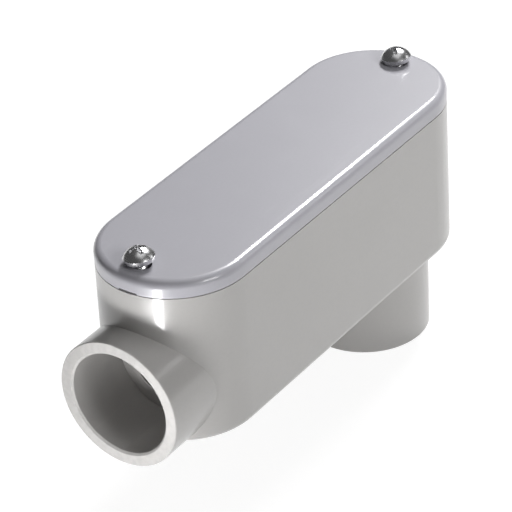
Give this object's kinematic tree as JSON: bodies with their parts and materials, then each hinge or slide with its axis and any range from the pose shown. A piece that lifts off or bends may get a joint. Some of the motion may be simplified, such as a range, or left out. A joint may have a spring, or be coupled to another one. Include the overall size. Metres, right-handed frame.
{
  "type": "conduit body",
  "caption": "Long-bodied PVC conduit elbow fitting: a hub in its end and a hub under its back, with a gasketed cover held by pan-head screws.",
  "frame": {"origin": "centre of the branch hub's open mouth, under the rear end", "axes": "+Z from that mouth up to the cover; the run hub opens towards -X; the part is the same on both sides of Y = 0"},
  "size_m": [0.1314, 0.0394, 0.0729],
  "materials": {
    "body_pvc": "semi-gloss moulded PVC, pale warm grey",
    "cover_pvc": "semi-gloss moulded PVC, pale cool grey",
    "gasket_rubber": "matt black closed-cell rubber",
    "screw_plating": "bright zinc plate on steel"
  },
  "bodies": {
    "root": {"body": "body_pvc", "cover": "cover_pvc", "gasket": "gasket_rubber", "front_cover_screw": "screw_plating", "rear_cover_screw": "screw_plating"}
  },
  "joints": []
}
